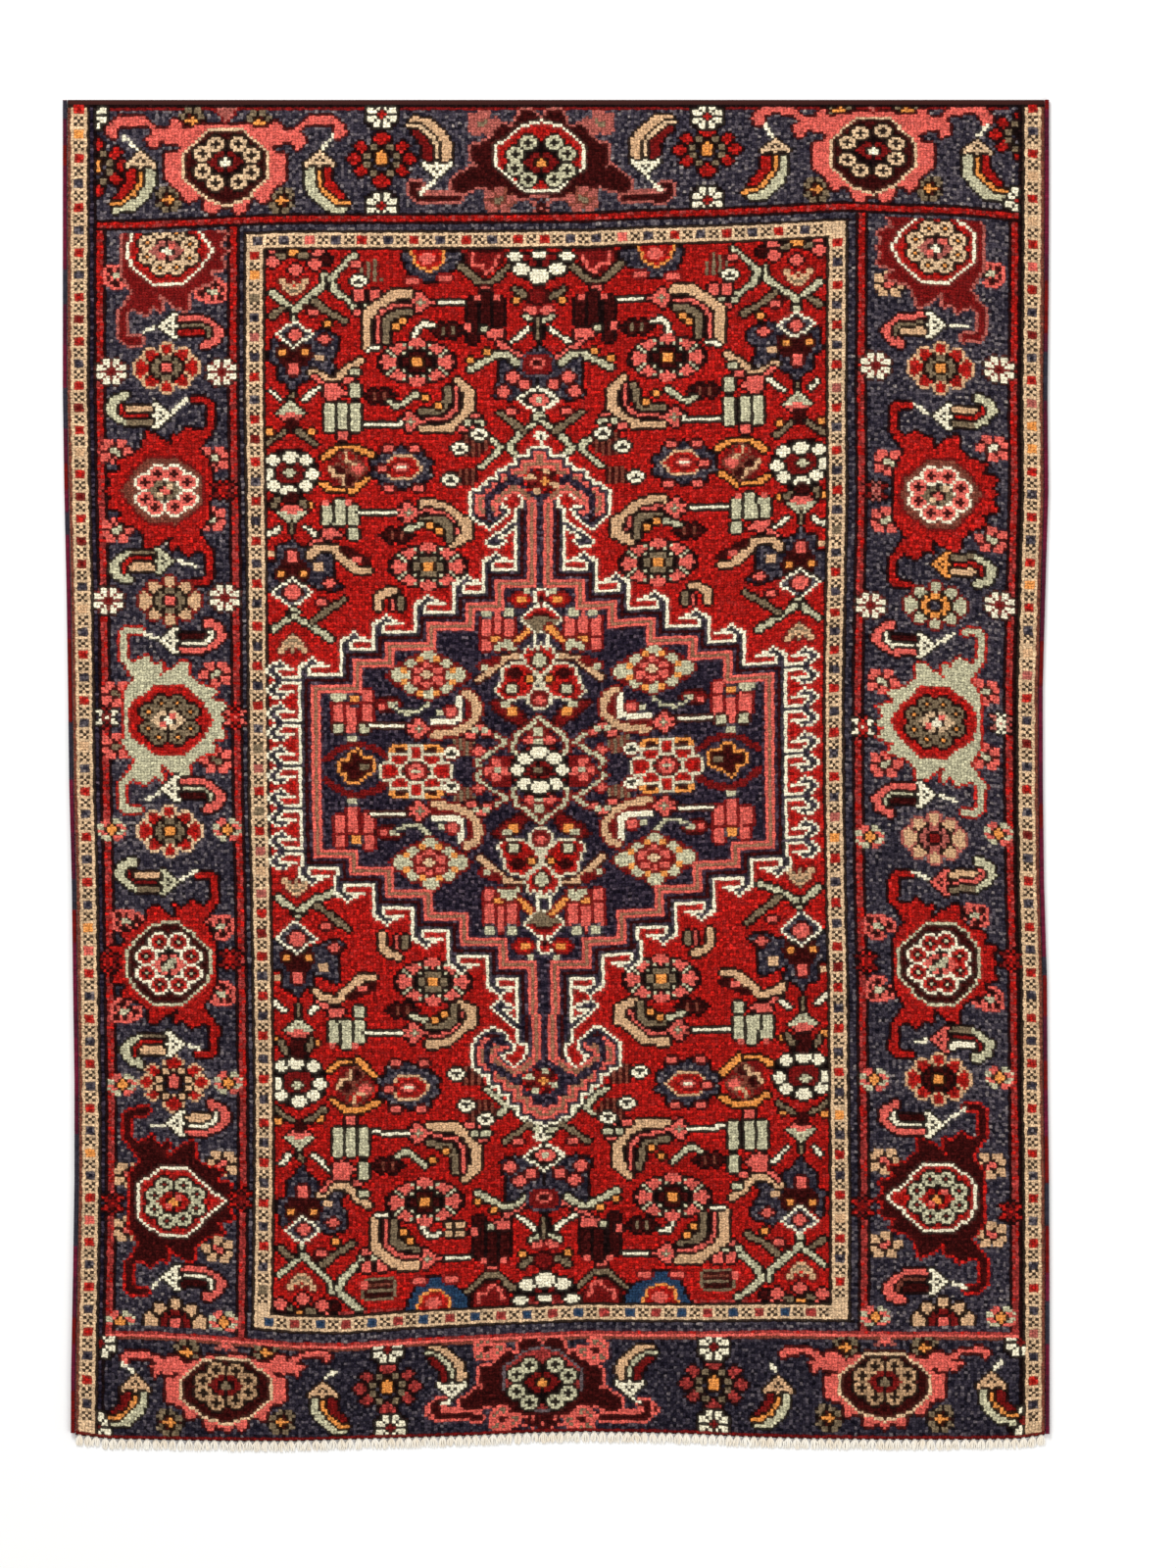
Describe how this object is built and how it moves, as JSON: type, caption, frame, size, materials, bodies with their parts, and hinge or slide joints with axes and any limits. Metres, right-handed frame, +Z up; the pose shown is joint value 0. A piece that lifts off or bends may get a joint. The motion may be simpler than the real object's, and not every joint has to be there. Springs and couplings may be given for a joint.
{
  "type": "hand-knotted persian rug",
  "caption": "Flat hand-knotted wool rug with a stepped medallion, flower-filled field, bordered edges, wrapped side cords and a short knotted fringe at one end.",
  "frame": {"origin": "middle of the underside, on the floor", "axes": "+X across the rug to its right side, +Y along it towards the head end with the flat web, +Z up out of the pile"},
  "size_m": [1.309, 1.795, 0.01],
  "materials": {
    "pile_wool": "hand-knotted wool pile",
    "cord_wool": "overcast wool",
    "fringe_cotton": "knotted cotton warp"
  },
  "bodies": {
    "root": {"rug": "pile_wool", "selvedge_left": "cord_wool", "selvedge_right": "cord_wool", "fringe_foot": "fringe_cotton"}
  },
  "joints": []
}
